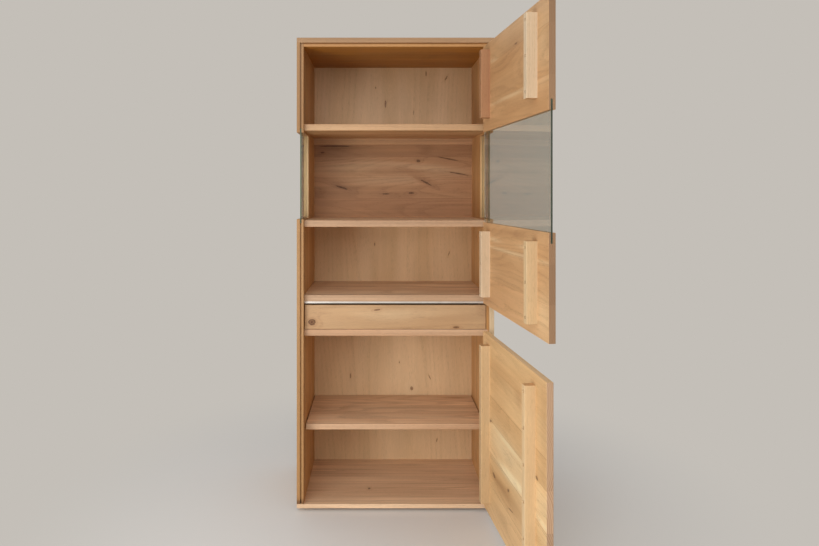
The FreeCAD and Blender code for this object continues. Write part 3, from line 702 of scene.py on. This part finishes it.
gripStrip = {"bright": (240, 232, 224), "dull": (226, 216, 206), "brush": (6.0, 900.0, 900.0),
             "rough": 0.3, "roughSpread": 0.14}
hingeSteel = {"bright": (200, 196, 188), "dull": (172, 168, 160), "brush": (400.0, 400.0, 12.0),
              "rough": 0.26, "roughSpread": 0.2}
screwSteel = {"bright": (176, 166, 140), "dull": (140, 132, 112), "brush": (500.0, 500.0, 500.0),
              "rough": 0.34, "roughSpread": 0.2}
pinSteel = dict(hingeSteel, bright=(206, 204, 200), rough=0.2)
hingeNames = [name for name in pieces if "hinge_" in name and name.endswith(("leaves", "pins"))]
screwNames = [name for name in pieces if name.endswith("screws")]
dressMetal(["drawer_grip_strip"], "satinAluminium", gripStrip)
dressMetal(hingeNames, "hingeSteel", hingeSteel)
dressMetal(screwNames, "screwSteel", screwSteel)
dressMetal(["loose_shelf_pins"], "pinSteel", pinSteel)
print("metal done")


# Glass, clear on its faces and dark green along its cut edges

glassLook = {
    # paintedEdgeGlow is an emission colour: a painted glow along the cut edges
    "face": (212, 214, 206), "edge": (168, 200, 178), "paintedEdgeGlow": (48, 56, 42), "shadow": (226, 232, 228),
    "edgeSpan": (0.4, 0.6), "rough": 0.012, "edgeRough": 0.5, "smear": (7.0, 7.0, 5.0),
    "smearSpan": (0.45, 0.75), "smearRough": 0.03, "ior": 1.5,
}


def dressGlass(name, thin):
    material, tree, shader, output = newMaterial(name + "Pane")
    coordinates = addNode(tree, "ShaderNodeTexCoord")
    turn = pieceFrame(name, thin, "z")[0]
    facing = split(tree, pieceMapping(tree, coordinates.outputs["Normal"], turn))
    edgeMask = ease(tree, calc(tree, "ABSOLUTE", facing[0]), *glassLook["edgeSpan"], 1.0, 0.0)
    color = mixColor(tree, edgeMask, tint(*glassLook["face"]), tint(*glassLook["edge"]))
    tree.links.new(color, shader.inputs["Base Color"])
    smear = noise(tree, coordinates.outputs["Object"], glassLook["smear"], detail=4.0)
    smear = ease(tree, smear, *glassLook["smearSpan"])
    rough = scaled(tree, smear, glassLook["smearRough"], glassLook["rough"])
    rough = scaled(tree, edgeMask, glassLook["edgeRough"], rough)   # ground edges
    tree.links.new(rough, shader.inputs["Roughness"])
    edgeGlowColor = mixColor(tree, edgeMask, tint(0, 0, 0), tint(*glassLook["paintedEdgeGlow"]))
    tree.links.new(edgeGlowColor, shader.inputs["Emission Color"])   # painted glow along the cut edges, an emission that stands in for the light the edges pass on
    shader.inputs["Emission Strength"].default_value = 1.0
    shader.inputs["IOR"].default_value = glassLook["ior"]
    shader.inputs["Transmission Weight"].default_value = 1.0
    clear = addNode(tree, "ShaderNodeBsdfTransparent")
    clear.inputs["Color"].default_value = tint(*glassLook["shadow"])
    path = addNode(tree, "ShaderNodeLightPath")
    mixShaders(tree, path.outputs["Is Shadow Ray"], shader, clear, output)
    dress(name, material)


for name, thin in (("upper_door_glass", "y"), ("left_side_glass", "x"), ("right_side_glass", "x")):
    dressGlass(name, thin)
print("glass done")


# Floor, light and camera

stageLook = {"floor": (224, 222, 219), "floorRough": 0.9, "backdrop": (196, 191, 184), "size": 9.0,
             "fadeFrom": 0.45, "fadeTo": 1.5, "ambient": 0.57}


def seenRays(tree):
    path = addNode(tree, "ShaderNodeLightPath")
    seen = calc(tree, "MAXIMUM", path.outputs["Is Camera Ray"], path.outputs["Is Glossy Ray"])
    return calc(tree, "MAXIMUM", seen, path.outputs["Is Transmission Ray"])


def makeFloor():
    shape = bmesh.new()
    bmesh.ops.create_grid(shape, x_segments=1, y_segments=1, size=stageLook["size"])
    mesh = bpy.data.meshes.new("floor")
    shape.to_mesh(mesh)
    shape.free()
    floor = bpy.data.objects.new("floor", mesh)
    bpy.context.scene.collection.objects.link(floor)
    material, tree, shader, output = newMaterial("floorPaint")
    shader.inputs["Base Color"].default_value = tint(*stageLook["floor"])
    shader.inputs["Roughness"].default_value = stageLook["floorRough"]
    glow = addNode(tree, "ShaderNodeEmission")   # far from the cabinet the floor runs into the backdrop
    glow.inputs["Color"].default_value = tint(*stageLook["backdrop"])
    coordinates = addNode(tree, "ShaderNodeTexCoord")
    away = lengthOf(tree, coordinates.outputs["Object"])
    far = ease(tree, away, stageLook["fadeFrom"], stageLook["fadeTo"])
    mixShaders(tree, calc(tree, "MULTIPLY", far, seenRays(tree)), shader, glow, output)
    mesh.materials.append(material)


def makeWorld():
    world = bpy.data.worlds.new("studio")
    bpy.context.scene.world = world
    world.use_nodes = True
    tree = world.node_tree
    tree.nodes.clear()
    light = addNode(tree, "ShaderNodeBackground")
    light.inputs["Color"].default_value = (1.0, 1.0, 1.0, 1.0)
    light.inputs["Strength"].default_value = stageLook["ambient"]
    backdrop = addNode(tree, "ShaderNodeBackground")
    backdrop.inputs["Color"].default_value = tint(*stageLook["backdrop"])
    backdrop.inputs["Strength"].default_value = 1.0
    output = addNode(tree, "ShaderNodeOutputWorld")
    mixShaders(tree, seenRays(tree), light, backdrop, output)


softLights = {
    "windowLight": {"place": (-1.4, -1.9, 0.5), "aim": (0.2, -0.4, 0.3), "size": 0.9, "power": 17.5},
    "frontLight": {"place": (-0.6, -3.8, 2.5), "aim": (0.0, 0.0, 0.6), "size": 2.0, "power": 46.0},
}


def makeLight(name, look):
    lamp = bpy.data.lights.new(name, "AREA")
    lamp.shape = "SQUARE"
    lamp.size = look["size"]
    lamp.energy = look["power"]
    lamp.color = (1.0, 1.0, 1.0)
    light = bpy.data.objects.new(name, lamp)
    light.location = look["place"]
    light.rotation_euler = (Vector(look["aim"]) - Vector(look["place"])).to_track_quat("-Z", "Y").to_euler()
    light.visible_transmission = False   # so that no lamp shows through the glass
    bpy.context.scene.collection.objects.link(light)


view = {"place": (-0.0635, -2.760, 1.1925), "imageWidth": 819, "imageHeight": 546, "focalPixels": 678.0,
        "centreX": 378.5, "centreY": 193.3, "sensorWidth": 36.0}


def makeCamera():
    lens = bpy.data.cameras.new("photoCamera")
    lens.sensor_width = view["sensorWidth"]
    lens.lens = view["focalPixels"] / view["imageWidth"] * view["sensorWidth"]
    lens.shift_x = (view["imageWidth"] / 2 - view["centreX"]) / view["imageWidth"]
    lens.shift_y = (view["centreY"] - view["imageHeight"] / 2) / view["imageWidth"]
    camera = bpy.data.objects.new("photoCamera", lens)
    camera.location = view["place"]
    camera.rotation_euler = (math.radians(90), 0, 0)
    bpy.context.scene.collection.objects.link(camera)
    bpy.context.scene.camera = camera


makeFloor()
makeWorld()
for name, look in softLights.items():
    makeLight(name, look)
makeCamera()
bpy.context.scene.view_settings.view_transform = "Standard"
print("stage ready")
